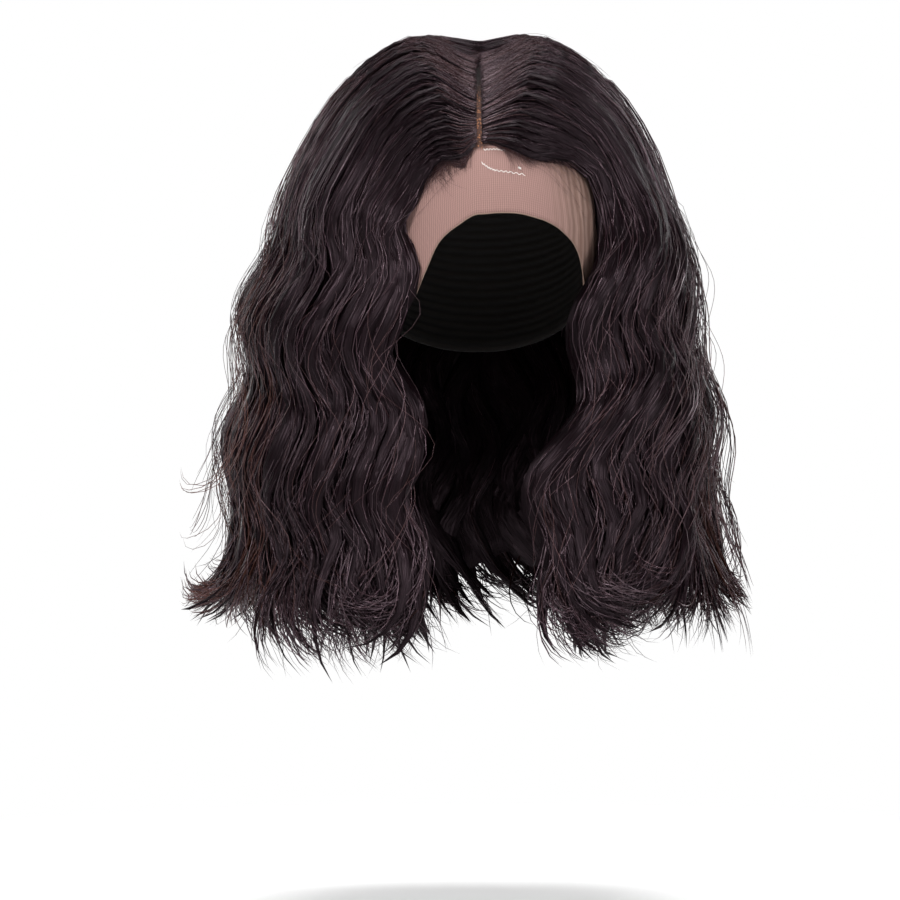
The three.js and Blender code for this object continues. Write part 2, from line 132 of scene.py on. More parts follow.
def straight(around, depth, reach):
    """Points of straight hair in millimetres"""
    around, depth, reach = np.broadcast_arrays(around, depth, reach)
    side = np.where(around < 0, -1.0, 1.0)
    place = np.abs(around)
    fall = np.clip(reach / DOME_SHARE, 0, 1) * (np.pi / 2)
    over_end = grow(0, 1 - place, WHORL_FROM, WHORL_FULL)
    at_root = LEAST_LIFT + (WHORL_LIFT - LEAST_LIFT) * over_end
    inner = at_root + (1 - at_root) * grow(0, fall, 0, PART_RISE)
    edge = HAIRLINE_LIFT + (FACE_LIFT - HAIRLINE_LIFT) * grow(0, fall, FACE_RISE, np.pi / 2)
    inward = grow(0, 1 - place, 0, FACE_BAND)
    lifted = depth * (edge + (inner - edge) * inward)
    level = CROWN_RISE / HAIR_DROP
    hung = np.maximum(0, (reach - DOME_SHARE) / (1 - DOME_SHARE))
    drop = level * (1 - np.cos(fall)) + (1 - level) * hung

    def size(head, inner_column, spread_out, outer):
        near = head * along(INSIDE, inner_column, drop) + NET_WALL - SINK
        return near + (head + spread_out * outer - near) * lifted

    def sided(table):
        return np.where(side < 0, along(table, 1, drop), along(table, 2, drop))

    across = size(HEAD_WIDTH / 2, 1, SIDE_SPREAD, sided(OUTSIDE))
    front = size(HEAD_LENGTH / 2, 2, LENGTH_SPREAD, along(OUTSIDE, 3, drop))
    back = size(HEAD_LENGTH / 2, 3, LENGTH_SPREAD, along(OUTSIDE, 4, drop))
    half = sided(OPENING) * HEAD_WIDTH / 2
    half = half + np.where(side < 0, 0, CORNER_PUSH) * bell(reach, CORNER_AT, CORNER_WIDE)
    square = along(OPENING, 3, drop)
    start = np.arcsin(np.minimum(1, (half / across) ** (1 / square)))
    angle = np.pi - (np.pi - start) * place
    x = side * across * np.abs(np.sin(angle)) ** square
    y = np.where(angle < np.pi / 2, -front, back) * np.abs(np.cos(angle)) ** square
    blend = np.sin(fall)
    between = PART_WIDTH + (CLOSED_WIDTH - PART_WIDTH) * over_end
    root_x = side * between * np.minimum(1, place / BACK_PLACE) / 2
    hairline = HAIRLINE_SETBACK - HEAD_LENGTH / 2
    root_y = hairline + PART_LENGTH * grow(0, 1 - place, 0, 0.5)
    root_y = root_y + (WHORL_SETBACK - PART_LENGTH) * grow(0, 1 - place, WHORL_FROM, 1)
    dome_x, dome_y = root_x + (x - root_x) * blend, root_y + (y - root_y) * blend
    dip = np.where(side < 0, along(HAIRLINE, 1, blend), along(HAIRLINE, 2, blend))
    dome_y = dome_y - dip * (1 - inward)
    long = np.where(dome_y < 0, front, back)
    height = np.sqrt(np.maximum(0, 1 - (dome_x / across) ** 2 - (dome_y / long) ** 2))
    near = CROWN_RISE + NET_WALL - SINK
    dome = near + (CROWN_RISE + CROWN_LIFT - near) * lifted
    z = np.where(hung > 0, -HAIR_DROP * drop, dome * height - CROWN_RISE)
    return np.stack([np.where(hung > 0, x, dome_x), np.where(hung > 0, y, dome_y), z], -1)


def frame_at(around, depth, reach):
    """Directions beside and out of the hair"""
    reach = np.maximum(reach, LEAST_REACH)
    beside = straight(around + SMALL_STEP, depth, reach) - straight(around - SMALL_STEP, depth, reach)
    out = straight(around, depth + SMALL_STEP, reach) - straight(around, depth - SMALL_STEP, reach)
    return unit(beside), unit(out)


def waved(around, depth, reach, phase, sway, swell, stretch):
    """Points of waved hair, with the directions beside and out of it"""
    at = straight(around, depth, reach)
    beside, out = frame_at(around, depth, reach)
    drift = 1.9 * np.sin(2.7 * around + 0.6) + 0.8 * np.sin(7.1 * around)
    angle = 2 * np.pi * reach * (HAIR_DROP + CROWN_LIFT) / (WAVE_LENGTH * stretch) + drift + phase
    grown = grow(0, reach, WAVES_FROM, WAVES_FULL)
    at = at + beside * (grown * sway * np.sin(angle))[..., None]
    at = at + out * (grown * swell * np.clip(depth, 0, 1) * np.cos(angle))[..., None]
    early = grow(0, reach, 0.015, 0.1) * (1 - grown)
    at = at + beside * (early * EARLY_SWAY * np.sin(0.8 * angle + drift))[..., None]
    return at, beside, out


def kept(points):
    """Points drawn in softly where they stray past the frame's box, in millimetres"""
    for limit, sign in ((CAD_BOX[1], 1), (CAD_BOX[0], -1)):
        edge = np.array(limit) / MM + sign * STRAY_FROM
        over = np.maximum(0, sign * (points - edge))
        points = points - sign * (over - STRAY_ROOM * (1 - np.exp(-over / STRAY_ROOM)))
    return points


def rows(dome, waves, tip, tip_from=0.86):
    """Shares of a hair's run where its rings lie, and the ring where its tip starts"""
    root = 0.3 * np.linspace(0, 1, dome, endpoint=False) ** 1.5
    middle = np.linspace(0.3, tip_from, waves, endpoint=False)
    return np.concatenate([root, middle, np.linspace(tip_from, 1, tip)]), dome + waves


def curled(points, start, turn, lean, beside, out):
    """The last stretch of each line rolled up by an angle, towards a side that lean picks"""
    made = points.copy()
    tangent = unit(points[:, start] - points[:, start - 1])
    lean = lean[:, None]
    side = beside[:, start] * np.cos(lean) + out[:, start] * np.sin(lean)
    side = unit(side - tangent * np.sum(side * tangent, -1, keepdims=True))
    step = np.linalg.norm(np.diff(points[:, start:], axis=1), axis=-1)
    total = np.maximum(step.sum(1, keepdims=True), 1e-6)
    mid = (np.cumsum(step, 1) - step / 2) / total
    angle = turn[:, None] * mid**1.25
    move = tangent[:, None] * (step * np.cos(angle))[..., None]
    move = move + side[:, None] * (step * np.sin(angle))[..., None]
    made[:, start + 1:] = made[:, start][:, None] + np.cumsum(move, 1)
    return kept(made)


# Meshes
def mesh_object(name, verts, corners, face_sizes, flow, shade=None):
    """Smooth mesh from flat arrays; verts in millimetres, flow per corner, shade per vertex"""
    mesh = bpy.data.meshes.new(name)
    mesh.vertices.add(len(verts))
    mesh.vertices.foreach_set("co", (np.asarray(verts, np.float32) * MM).ravel())
    mesh.loops.add(len(corners))
    mesh.loops.foreach_set("vertex_index", np.asarray(corners, np.int32))
    mesh.polygons.add(len(face_sizes))
    starts = np.concatenate([[0], np.cumsum(face_sizes)[:-1]]).astype(np.int32)
    mesh.polygons.foreach_set("loop_start", starts)
    mesh.polygons.foreach_set("use_smooth", np.full(len(face_sizes), True))
    mesh.uv_layers.new(name="flow").data.foreach_set("uv", np.asarray(flow, np.float32).ravel())
    if shade is not None:
        stored = mesh.color_attributes.new("shade", "FLOAT_COLOR", "POINT")
        stored.data.foreach_set("color", np.asarray(shade, np.float32).ravel())
    mesh.update(calc_edges=True)
    mesh.validate()
    made = bpy.data.objects.new(name, mesh)
    bpy.context.scene.collection.objects.link(made)
    return made


def tube_points(lines, out, wide, thick, sides, groove):
    """Rings of each tube between its first and its last point"""
    tubes, rings = lines.shape[:2]
    tangent = unit(np.gradient(lines, axis=1))
    out = unit(out - tangent * np.sum(out * tangent, -1, keepdims=True))
    beside = np.cross(tangent, out)
    corner = np.arange(sides)
    turn = -np.pi / 2 + 2 * np.pi * corner / sides
    dent = 1 - groove * (corner % 2)
    across, outward = np.cos(turn) * dent, np.sin(turn) * dent
    ring = lines[:, 1:-1, None, :] + beside[:, 1:-1, None] * (wide[:, 1:-1, None] * across)[..., None]
    ring = ring + out[:, 1:-1, None] * (thick[:, 1:-1, None] * outward)[..., None]
    body = ring.reshape(tubes, (rings - 2) * sides, 3)
    return np.concatenate([lines[:, :1], body, lines[:, -1:]], 1)


def tube_faces(rings, sides):
    """Corners and face sizes of one tube: fans at both ends and quads between them"""
    near = 1 + np.arange(sides)
    far = 1 + (np.arange(sides) + 1) % sides
    row = np.arange(rings - 3)[:, None] * sides
    last = (rings - 3) * sides
    head = np.stack([np.zeros(sides, int), near, far], -1)
    quads = np.stack([row + near, row + sides + near, row + sides + far, row + far], -1)
    tail = np.stack([np.full(sides, last + sides + 1), last + far, last + near], -1)
    face_sizes = [np.full(sides, 3), np.full((rings - 3) * sides, 4), np.full(sides, 3)]
    return np.concatenate([head.ravel(), quads.ravel(), tail.ravel()]), np.concatenate(face_sizes)


def tube_flow(tubes, rings, sides, flow_width):
    """Texture places across and along the tubes, each tube shifted by chance"""
    run = np.linspace(0, 1, rings)
    near, far = np.arange(sides) / sides, (np.arange(sides) + 1) / sides
    grid = (rings - 3, sides)
    u_near, u_far = np.broadcast_to(near, grid), np.broadcast_to(far, grid)
    v_near, v_far = np.broadcast_to(run[1:-2][:, None], grid), np.broadcast_to(run[2:-1][:, None], grid)
    quads = np.stack([u_near, v_near, u_near, v_far, u_far, v_far, u_far, v_near], -1)
    middle, none = (near + far) / 2, 0 * near
    head = np.stack([middle, none, near, none + run[1], far, none + run[1]], -1)
    tail = np.stack([middle, none + 1, far, none + run[-2], near, none + run[-2]], -1)
    flow = np.concatenate([part.reshape(-1, 2) for part in (head, quads, tail)])
    shift = rng.uniform(0, 400, tubes)
    flow = np.broadcast_to(flow, (tubes,) + flow.shape) * np.array([flow_width, 1.0])
    flow = flow + np.stack([shift, shift * 0.37], -1)[:, None]
    return flow.reshape(-1, 2)


def tube_shade(tone, backlit_brown, tubes, rings, sides):
    """Tone, share of the run and backlit brown, painted light through thin hair, for each point of the
    tubes
    """
    def each(values):
        return np.broadcast_to(values[:, None] if values.ndim == 1 else values, (tubes, rings))

    run = np.broadcast_to(np.linspace(0, 1, rings), (tubes, rings))
    shade = np.stack([each(tone), run, each(backlit_brown), np.ones((tubes, rings))], -1)
    body = np.repeat(shade[:, 1:-1], sides, axis=1)
    return np.concatenate([shade[:, :1], body, shade[:, -1:]], 1).reshape(-1, 4)


class Bundle:
    """Closed tubes gathered into one mesh"""

    def __init__(self):
        self.verts, self.corners, self.face_sizes, self.flow, self.shade = [], [], [], [], []
        self.count = 0

    def add(self, lines, out, wide, thick, sides, tone, backlit_brown, flow_width=1.0, groove=0.0):
        """Tubes along lines, with half sizes per ring, and tone and backlit brown per tube or per ring"""
        tubes, rings = lines.shape[:2]
        verts = tube_points(lines, out, wide, thick, sides, groove)
        corners, face_sizes = tube_faces(rings, sides)
        first = (self.count + verts.shape[1] * np.arange(tubes))[:, None]
        self.verts.append(verts.reshape(-1, 3))
        self.corners.append((first + corners).reshape(-1))
        self.face_sizes.append(np.tile(face_sizes, tubes))
        self.flow.append(tube_flow(tubes, rings, sides, flow_width))
        self.shade.append(tube_shade(tone, backlit_brown, tubes, rings, sides))
        self.count += tubes * verts.shape[1]

    def build(self, name, material):
        arrays = (self.verts, self.corners, self.face_sizes, self.flow, self.shade)
        made = mesh_object(name, *[np.concatenate(array) for array in arrays])
        made.data.materials.append(material)
        return made


def grid_object(name, points, material, flow_size, shade=None):
    """Closed sheet from two faces of points (2, rows, columns, 3): front first, then back"""
    row_count, columns = points.shape[1:3]
    index = np.arange(2 * row_count * columns).reshape(2, row_count, columns)
    u = np.linspace(0, flow_size[0], columns)
    v = np.linspace(0, flow_size[1], row_count)
    near_u, near_v = np.meshgrid(u[:-1], v[:-1])
    far_u, far_v = np.meshgrid(u[1:], v[1:])
    flow_corners = [(near_u, near_v), (near_u, far_v), (far_u, far_v), (far_u, near_v)]
    quads, flow = [], []
    for face, way in zip(index, (1, -1)):
        quad = [face[:-1, :-1], face[1:, :-1], face[1:, 1:], face[:-1, 1:]]
        quads.append(np.stack(quad[::way], -1).reshape(-1, 4))
        flow.append(np.stack([np.stack(corner, -1) for corner in flow_corners[::way]], 2).reshape(-1, 2))
    front, back = index
    rims = [
        (front[0], back[0]), (back[-1], front[-1]), (back[:, 0], front[:, 0]), (front[:, -1], back[:, -1]),
    ]
    for one, other in rims:
        quads.append(np.stack([one[:-1], one[1:], other[1:], other[:-1]], -1))
        flow.append(np.zeros((4 * (len(one) - 1), 2)))
    quads, flow = np.concatenate(quads), np.concatenate(flow)
    face_sizes = np.full(len(quads), 4)
    made = mesh_object(name, points.reshape(-1, 3), quads.reshape(-1), face_sizes, flow, shade)
    made.data.materials.append(material)
    return made


# Materials
# Hair colours: the light end is partly a painted highlight on single strands, and the brown is painted
# light shining through thin hairs
HAIR_DARK, HAIR_TONE_AND_GLINT, HAIR_BACKLIT_BROWN = (0.0010, 0.0005, 0.0007), (0.044, 0.0205, 0.0285), (0.105, 0.036, 0.018)
TONE_SHARE, STREAK_SHARE, STREAK_SCALE = 0.4, 0.6, (1.0, 11.0, 1)
# The lace's crease colour is painted shade in its folds
LACE_DARK, LACE_LIGHT, LACE_TEMPLE = (0.235, 0.139, 0.122), (0.31, 0.189, 0.170), (0.26, 0.170, 0.142)
LACE_CREASE_SHADE, LACE_ROOTS, LACE_KNOT = (0.15, 0.090, 0.072), (0.060, 0.030, 0.022), (0.26, 0.115, 0.060)
# Painted shade: near black where the hair masses shade the lace by the crown
LACE_HAIR_SHADE = (0.003, 0.002, 0.002)
NET_DARK, NET_LIGHT = (0.006, 0.005, 0.005), (0.035, 0.027, 0.024)
# The thread colour is near white, partly a painted glint on the thread
EDGE_COLOR, THREAD_GLINT_COLOR = (0.20, 0.13, 0.10), (0.85, 0.82, 0.78)
HAIR_RELIEF, LACE_RELIEF, NET_RELIEF = 0.0006, 0.0003, 0.0006


class Skin:
    """Material with its shader, and short ways to add and join its nodes"""

    def __init__(self, name):
        self.material = bpy.data.materials.new(name)
        self.material.use_nodes = True
        tree = self.material.node_tree
        self.nodes, self.link = tree.nodes, tree.links.new
        self.shader = next(node for node in self.nodes if node.type == "BSDF_PRINCIPLED")

    def node(self, kind, **values):
        made = self.nodes.new(kind)
        for name, value in values.items():
            if name in made.inputs:
                made.inputs[name].default_value = value
            else:
                setattr(made, name, value)
        return made

    def constants(self, values):
        for name, value in values.items():
            self.shader.inputs[name].default_value = value

    def flow(self):
        return self.node("ShaderNodeUVMap", uv_map="flow").outputs["UV"]

    def shade(self):
        """The three shares stored with each point"""
        stored = self.node("ShaderNodeVertexColor", layer_name="shade")
        split = self.node("ShaderNodeSeparateColor")
        self.link(stored.outputs["Color"], split.inputs["Color"])
        return split.outputs["Red"], split.outputs["Green"], split.outputs["Blue"]

    def bands(self, direction, **values):
        wave = self.node("ShaderNodeTexWave", wave_type="BANDS", bands_direction=direction, **values)
        self.link(self.flow(), wave.inputs["Vector"])
        return wave.outputs["Fac"]

    def product(self, first, second):
        times = self.node("ShaderNodeMath", operation="MULTIPLY")
        self.link(first, times.inputs[0])
        self.link(second, times.inputs[1])
        return times.outputs["Value"]

    def remapped(self, value, low=0.0, high=1.0, to_low=0.0, to_high=1.0):
        span = self.node("ShaderNodeMapRange")
        for name, limit in zip(("From Min", "From Max", "To Min", "To Max"), (low, high, to_low, to_high)):
            span.inputs[name].default_value = limit
        self.link(value, span.inputs["Value"])
        return span.outputs["Result"]

    def tinted(self, value, low, high):
        """Colour between two stops, each a share and a colour"""
        tint = self.node("ShaderNodeValToRGB")
        for element, (at, color) in zip(tint.color_ramp.elements, (low, high)):
            element.position = at
            element.color = (*color, 1)
        self.link(value, tint.inputs["Fac"])
        return tint.outputs["Color"]

    def over(self, factor, under, color):
        """A colour laid over another by a factor"""
        mix = self.node("ShaderNodeMix", data_type="RGBA")
        mix.inputs["B"].default_value = (*color, 1)
        self.link(factor, mix.inputs["Factor"])
        self.link(under, mix.inputs["A"])
        return mix.outputs["Result"]

    def bump(self, height, strength, distance):
        raised = self.node("ShaderNodeBump", Strength=strength, Distance=distance)
        self.link(height, raised.inputs["Height"])
        self.link(raised.outputs["Normal"], self.shader.inputs["Normal"])


def hair_material(name, bright, gloss):
    """Fine streaks along the hair, partly a painted highlight, with a brown laid over as painted light
    shining through thin hairs
    """
    skin = Skin(name)
    tone, _, backlit_brown = skin.shade()
    stretched = skin.node("ShaderNodeVectorMath", operation="MULTIPLY")
    stretched.inputs[1].default_value = STREAK_SCALE
    skin.link(skin.flow(), stretched.inputs[0])
    fine = skin.node("ShaderNodeTexNoise", Scale=1.0, Detail=2.0, Roughness=0.6)
    skin.link(stretched.outputs["Vector"], fine.inputs["Vector"])
    # The streaks lighten the base colour: strand texture, and partly a painted highlight
    streak = skin.remapped(fine.outputs["Fac"], 0.36, 0.66)
    streaked = skin.node("ShaderNodeMath", operation="MULTIPLY")
    streaked.inputs[1].default_value = STREAK_SHARE
    skin.link(streak, streaked.inputs[0])
    mixed = skin.node("ShaderNodeMath", operation="MULTIPLY_ADD")
    mixed.inputs[1].default_value = TONE_SHARE
    skin.link(tone, mixed.inputs[0])
    skin.link(streaked.outputs["Value"], mixed.inputs[2])
    light = tuple(share * bright for share in HAIR_TONE_AND_GLINT)
    color = skin.tinted(mixed.outputs["Value"], (0.12, HAIR_DARK), (0.95, light))
    # Painted light: the brown laid over the hair stands in for light shining through thin hairs
    skin.link(skin.over(backlit_brown, color, HAIR_BACKLIT_BROWN), skin.shader.inputs["Base Color"])
    skin.link(skin.remapped(streak, to_low=0.55, to_high=0.20), skin.shader.inputs["Roughness"])
    skin.bump(streak, 1.0, HAIR_RELIEF)
    tangent = skin.node("ShaderNodeTangent", direction_type="UV_MAP", uv_map="flow")
    skin.link(tangent.outputs["Tangent"], skin.shader.inputs["Tangent"])
    skin.constants({"Anisotropic": 0.8, "Specular IOR Level": gloss})
    skin.constants({"Specular Tint": (1.0, 0.72, 0.84, 1)})
    return skin.material


def lace_material():
    """Sheer woven lace, dark and knotted where hair is rooted, with painted shade in its temple creases and
    under the hair
    """
    skin = Skin("lace_net")
    rooted, temple, hair_shade = skin.shade()
    weave = skin.node("ShaderNodeMix", data_type="FLOAT", Factor=0.25)
    skin.link(skin.bands("X", Scale=0.27, Distortion=2.0, Detail=2.0), weave.inputs["A"])
    skin.link(skin.bands("Y", Scale=0.3, Distortion=1.5, Detail=1.0), weave.inputs["B"])
    woven = weave.outputs["Result"]
    color = skin.tinted(woven, (0.0, LACE_DARK), (1.0, LACE_LIGHT))
    color = skin.over(temple, color, LACE_TEMPLE)
    # Painted shade: darker bands in the creases at the temple
    fold_shade = skin.bands("X", Scale=0.075, Distortion=3.0, Detail=2.0)
    color = skin.over(skin.product(fold_shade, temple), color, LACE_CREASE_SHADE)
    color = skin.over(rooted, color, LACE_ROOTS)
    knots = skin.node("ShaderNodeTexVoronoi", Scale=0.75)
    skin.link(skin.flow(), knots.inputs["Vector"])
    dots = skin.node("ShaderNodeMath", operation="LESS_THAN")
    dots.inputs[1].default_value = 0.36
    skin.link(knots.outputs["Distance"], dots.inputs[0])
    color = skin.over(skin.product(dots.outputs["Value"], rooted), color, LACE_KNOT)
    # Painted shade where the hair shades the lace near the crown
    color = skin.over(hair_shade, color, LACE_HAIR_SHADE)
    skin.link(color, skin.shader.inputs["Base Color"])
    skin.link(skin.remapped(woven, to_low=0.86), skin.shader.inputs["Alpha"])
    skin.bump(woven, 0.4, LACE_RELIEF)
    skin.constants({"Roughness": 0.75, "Sheen Weight": 0.03})
    skin.constants({"Specular IOR Level": 0.12, "Specular Tint": (1.0, 0.75, 0.75, 1)})
    return skin.material


def net_material():
    """Dark stretch net with rows of tracks"""
    skin = Skin("cap_net")
    mesh = skin.bands("DIAGONAL", Scale=1.2, Distortion=0.4)
    tracks = skin.bands("Y", Scale=0.12, Distortion=0.6, Detail=2.0)
    both = skin.product(mesh, tracks)
    skin.link(skin.tinted(both, (0.0, NET_DARK), (1.0, NET_LIGHT)), skin.shader.inputs["Base Color"])
    skin.bump(both, 0.6, NET_RELIEF)
    skin.constants({"Roughness": 0.8})
    return skin.material


def plain_material(name, color, roughness):
    """One colour, faintly mottled"""
    skin = Skin(name)
    noise = skin.node("ShaderNodeTexNoise", Scale=400.0, Detail=3.0)
    tint = skin.node("ShaderNodeMix", data_type="RGBA")
    tint.inputs["A"].default_value = (*[share * 0.85 for share in color], 1)
    tint.inputs["B"].default_value = (*color, 1)
    skin.link(noise.outputs["Fac"], tint.inputs["Factor"])
    skin.link(tint.outputs["Result"], skin.shader.inputs["Base Color"])
    skin.constants({"Roughness": roughness})
    return skin.material


# Painted shade: lock bodies and the wall under them take a much darker copy of the hair colour than the
# strands, for shade deep in the hair
shaded_lock_skin = hair_material("hair_locks_shaded", 0.16, 0.17)
strand_skin = hair_material("hair_strands", 0.95, 0.75)

# Locks come together in clumps at the hem, counted per unit of around, and tufts at the sides hang longer
CLUMPS, CLUMP_SHIFT, CLUMP_LENGTH, GATHER = 13.0, 0.37, 0.014, 0.62
SWAY, LEAST_SWELL, MOST_SWELL, END_TURN, END_LEAN = 7.0, 3.4, 5.4, 1.5, 1.2
EXTRA_LENGTH, TUFT_LENGTH, TUFT_AT, TUFT_WIDE = 0.002, 0.028, 0.6, 0.1
# Painted light: a brown share on strands near the side silhouettes, for light shining through thin hair
BACKLIT_LEFT, BACKLIT_RIGHT, BACKLIT_AT, BACKLIT_WIDE, BACKLIT_SHARE = 0.6, 0.2, 0.62, 0.1, 0.75
SKIN_GAP, LEAST_ROOM = 0.9, 0.15

# Half thickness of single hairs in millimetres, and how many of the short ones there are
STRAND_RADIUS, END_RADIUS, TUFT_RADIUS, FREE_RADIUS, FLY_RADIUS = 0.24, 0.33, 0.95, 0.22, 0.16
EDGE_RADIUS, PARTING_RADIUS, BROKEN_RADIUS, LACE_HAIR_RADIUS = 0.15, 0.2, 0.11, 0.08
EDGE_HAIRS, PARTING_HAIRS, BROKEN_HAIRS = 200, 240, 500
swings = [(rng.uniform(6, 24), rng.uniform(0, 6.3), rng.uniform(0.1, 0.3)) for _ in range(6)]


def field(around, shift=0.0):
    """Smooth noise over around, so that neighbouring locks move together"""
    return sum(size * np.sin(rate * around + start + shift) for rate, start, size in swings)


def make_locks(around, depth, root, half_wide, half_thick, loose=1.0, shorter=0.05, longer=0.01, curl=1.0,
               lift=0.0):
    """Centre lines and shapes of one layer of locks"""
    n = len(around)
    place = np.abs(around)
    clump = np.floor(around * CLUMPS + CLUMP_SHIFT)
    flare = 2.0 * bell(around, -0.62, 0.1) + 1.3 * bell(around, 0.63, 0.08)
    end = along(HEM, 1, place) + EXTRA_LENGTH + longer - shorter * rng.random(n) ** 1.3
    end = end + CLUMP_LENGTH * np.sin(2.4 * clump) + TUFT_LENGTH * bell(place, TUFT_AT, TUFT_WIDE)
    away = -0.9 * np.sign(around) * grow(0, place, 0.8, 0.96)
    return {
        "around": around,
        "depth": depth + rng.uniform(-0.09, 0.09, n),
        "root": np.full(n, root),
        "end": end,
        "phase": field(around) + rng.normal(0, 0.25 * loose, n),
        "sway": SWAY + 1.6 * field(around, 2.0) + rng.uniform(-0.8, 0.8, n) * loose,
        "swell": rng.uniform(LEAST_SWELL, MOST_SWELL, n),
        "stretch": 1 + 0.06 * field(around, 4.0) + rng.normal(0, 0.012 * loose, n),
        "wander": rng.normal(0, 0.016 * loose, n),
        "lift": lift * rng.uniform(0.4, 1, n),
        "turn": curl * (END_TURN + 0.5 * np.sin(1.3 * clump) + rng.normal(0, 0.14, n)),
        "lean": -np.pi / 2 + END_LEAN * np.sin(0.83 * clump + 0.8) + away + flare + rng.normal(0, 0.12, n),
        "gather": (clump + 0.5 - CLUMP_SHIFT) / CLUMPS - around,
        "wide": half_wide * rng.uniform(0.62, 1.4, n),
        "thick": half_thick * rng.uniform(0.8, 1.2, n),
        "tone": np.clip(0.45 + 0.5 * field(around, 1.0) + rng.normal(0, 0.16, n), 0, 1),
        "seed": rng.uniform(0, 100, n),
    }


def spread(low, high, density):
    """Places side by side between two, unevenly"""
    count = max(1, round(density * (high - low)))
    return low + (high - low) / count * (np.arange(count) + 0.5 + rng.uniform(-0.42, 0.42, count))


def lock_lines(locks, run, pick=None, jitter=None):
    """Lines of locks and the room under them; pick repeats locks, and jitter moves the copies"""
    def own(key):
        return (locks[key] if pick is None else locks[key][pick])[:, None]

    moved = jitter or {}
    root, end = own("root"), own("end") - moved.get("short", 0)
    reach = root + (end - root) * run
    crossing = moved.get("cross", 0) * grow(0, run, 0.03, 0.5) * (1 - 0.5 * grow(0, run, 0.75, 1))
    around = own("around") + own("wander") * grow(0, run, 0.15, 0.95) + crossing
    around = around + GATHER * own("gather") * grow(0, run, 0.66, 1)
    edge = 0.992 - 0.022 * grow(0, reach, 0.05, 0.3)
    around = np.clip(around, -edge, edge - CORNER_BACK * bell(reach, CORNER_AT, CORNER_WIDE))
    back = grow(0, 1 - np.abs(around), WHORL_FROM, WHORL_FULL)
    rooted = grow(0, reach - root, 0, 0.08)
    raised = rooted + (1 - rooted) * (0.35 + 0.6 * back)
    depth = own("depth") * raised + moved.get("depth", 0) * grow(0.2, reach, 0, 0.3)
    depth = depth + own("lift") * grow(0, run, 0.35, 0.75)
    phase = own("phase") + moved.get("phase", 0)
    sway = own("sway") * moved.get("sway", 1) * (1 + 0.12 * grow(0, reach, 0.6, 0.92))
    at, beside, out = waved(around, depth, reach, phase, sway, own("swell"), own("stretch"))
    room = np.linalg.norm(straight(around, depth, reach) - straight(around, 0.0, reach), axis=-1)
    return at, beside, out, reach, np.maximum(room - SKIN_GAP, LEAST_ROOM)


def profile(run, seed):
    """Width of a lock along its run: fine at the root, drawn in at the tip"""
    width = grow(0.4, run, 0, 0.2) * (1 - 0.62 * grow(0, run, 0.78, 1.0))
    seed = seed[:, None]
    return width * (1 + 0.13 * np.sin(17 * run + seed) + 0.08 * np.sin(31 * run + 2 * seed))


def flattened(reach):
    """Share of its thickness that a lock has: less near the root"""
    return grow(0.4, reach, 0.08, 0.4)


def add_cores(bundle, locks, run, tip, short):
    """One grooved tube in the middle of each lock"""
    at, beside, out, reach, room = lock_lines(locks, run, None, {"short": short})
    at = curled(at, tip, 0.9 * locks["turn"], locks["lean"], beside, out)
    width = profile(run, locks["seed"]) * (1 - 0.7 * grow(0, run, 0.84, 1.0))
    wide = locks["wide"][:, None] * width
    thick = np.minimum(locks["thick"][:, None] * width * flattened(reach), room)
    # Cores darker still: painted shade inside the locks
    tone, backlit_brown = locks["tone"] * 0.6, np.zeros(len(at))
    bundle.add(at, out, wide, thick, 8, tone, backlit_brown, flow_width=15.0, groove=0.16)


